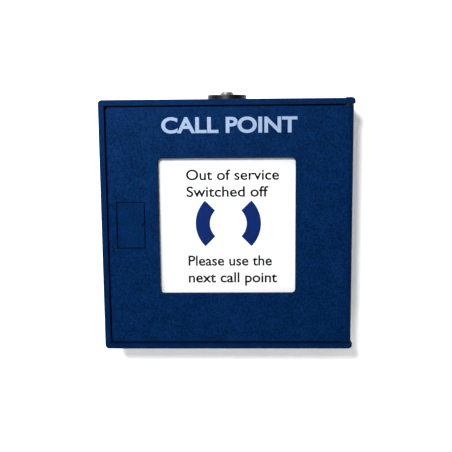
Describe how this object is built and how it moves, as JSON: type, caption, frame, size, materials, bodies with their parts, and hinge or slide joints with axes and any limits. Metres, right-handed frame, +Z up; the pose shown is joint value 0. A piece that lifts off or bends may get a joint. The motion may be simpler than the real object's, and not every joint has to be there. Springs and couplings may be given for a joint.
{
  "type": "manual call point",
  "caption": "Square wall-mounted manual call point with a hinged glazed door, key lock on top, push button with switch and circuit board, and a small side flap.",
  "frame": {"origin": "Middle of the flat back face, which is also the middle of the four wall screw holes.", "axes": "+X right and +Z up as seen from the front; the front faces -Y and the back face lies on the wall at y = 0."},
  "size_m": [0.133, 0.036, 0.137],
  "materials": {
    "case_plastic": "deep blue finely textured moulded plastic",
    "door_plastic": "deep blue finely textured moulded plastic",
    "rubber_black": "soft black rubber",
    "clear_glass": "clear flat glass",
    "white_card": "white printed plastic sheet",
    "plated_metal": "nickel plated turned metal",
    "zinc_steel": "bright zinc plated steel",
    "spring_steel": "bright spring wire",
    "brass": "turned brass",
    "acetal_black": "black moulded plastic",
    "acetal_white": "natural white moulded plastic",
    "mask_white": "white moulded plastic",
    "board_green": "green lacquered glass fibre board",
    "lens_clear": "clear moulded plastic",
    "component_mix": "black moulded component cases"
  },
  "bodies": {
    "case": {"back_box": "case_plastic", "case_gasket": "rubber_black", "cable_grommet": "rubber_black", "hinge_pins": "zinc_steel", "lock_body": "plated_metal", "lock_nut": "plated_metal", "module_base": "acetal_black", "module_screws": "zinc_steel", "mask_plate": "mask_white", "mask_screws": "zinc_steel", "guide_bush": "acetal_white", "button_spring": "spring_steel", "switch_body": "acetal_black", "switch_screws": "zinc_steel", "rocker_pin": "zinc_steel", "circuit_board": "board_green", "board_screws": "zinc_steel", "indicator_lamp": "lens_clear", "light_pipe": "lens_clear", "reset_switch": "acetal_black", "board_parts": "component_mix", "terminal_block": "acetal_white", "terminal_screws": "zinc_steel", "terminal_clamps": "brass"},
    "door": {"door_shell": "door_plastic", "hinge_bushes": "acetal_white", "door_catch": "zinc_steel", "catch_screws": "zinc_steel", "window_seal": "rubber_black", "glass_pane": "clear_glass", "sign_insert": "white_card", "glass_holder": "acetal_black", "holder_screws": "zinc_steel", "flap_pins": "zinc_steel"},
    "flap": {"service_flap": "door_plastic"},
    "lock": {"lock_spindle": "plated_metal", "lock_cam": "zinc_steel", "cam_screw": "zinc_steel"},
    "button": {"push_button": "acetal_black", "button_shaft": "zinc_steel"},
    "rocker": {"switch_rocker": "acetal_white"},
    "plunger": {"switch_plunger": "acetal_white"},
    "reset": {"reset_key": "acetal_white"}
  },
  "joints": [
    {"name": "door_hinge", "type": "hinge", "parent": "case", "child": "door", "pos_m": [0.063, -0.0327, 0], "axis": [0, 0, 1], "range_deg": [0, 120]},
    {"name": "lock_turn", "type": "hinge", "parent": "case", "child": "lock", "pos_m": [0, -0.0135, 0.0665], "axis": [0, 0, -1], "range_deg": [0, 90]},
    {"name": "flap_hinge", "type": "hinge", "parent": "door", "child": "flap", "pos_m": [-0.05695, -0.0348, 0.0009], "axis": [0, 0, -1], "range_deg": [0, 90]},
    {"name": "button_press", "type": "slide", "parent": "case", "child": "button", "axis": [0, 1, 0], "range_m": [0, 0.004], "stiffness_N_per_m": 1500, "springref_m": -0.002, "deforming": ["button_spring"]},
    {"name": "rocker_tilt", "type": "hinge", "parent": "case", "child": "rocker", "pos_m": [0.0265, -0.00815, 0], "axis": [0, 0, -1], "range_deg": [0, 9.2]},
    {"name": "switch_plunger_slide", "type": "slide", "parent": "case", "child": "plunger", "axis": [0, -1, 0], "range_m": [0, 0.0015]},
    {"name": "reset_press", "type": "slide", "parent": "case", "child": "reset", "axis": [0, 1, 0], "range_m": [0, 0.0008], "stiffness_N_per_m": 2500, "springref_m": -0.0003}
  ],
  "couplings": [
    {"joint": "rocker_tilt", "follows": "button_press", "rad_per_m": 40},
    {"joint": "switch_plunger_slide", "follows": "button_press", "ratio": 0.35}
  ]
}
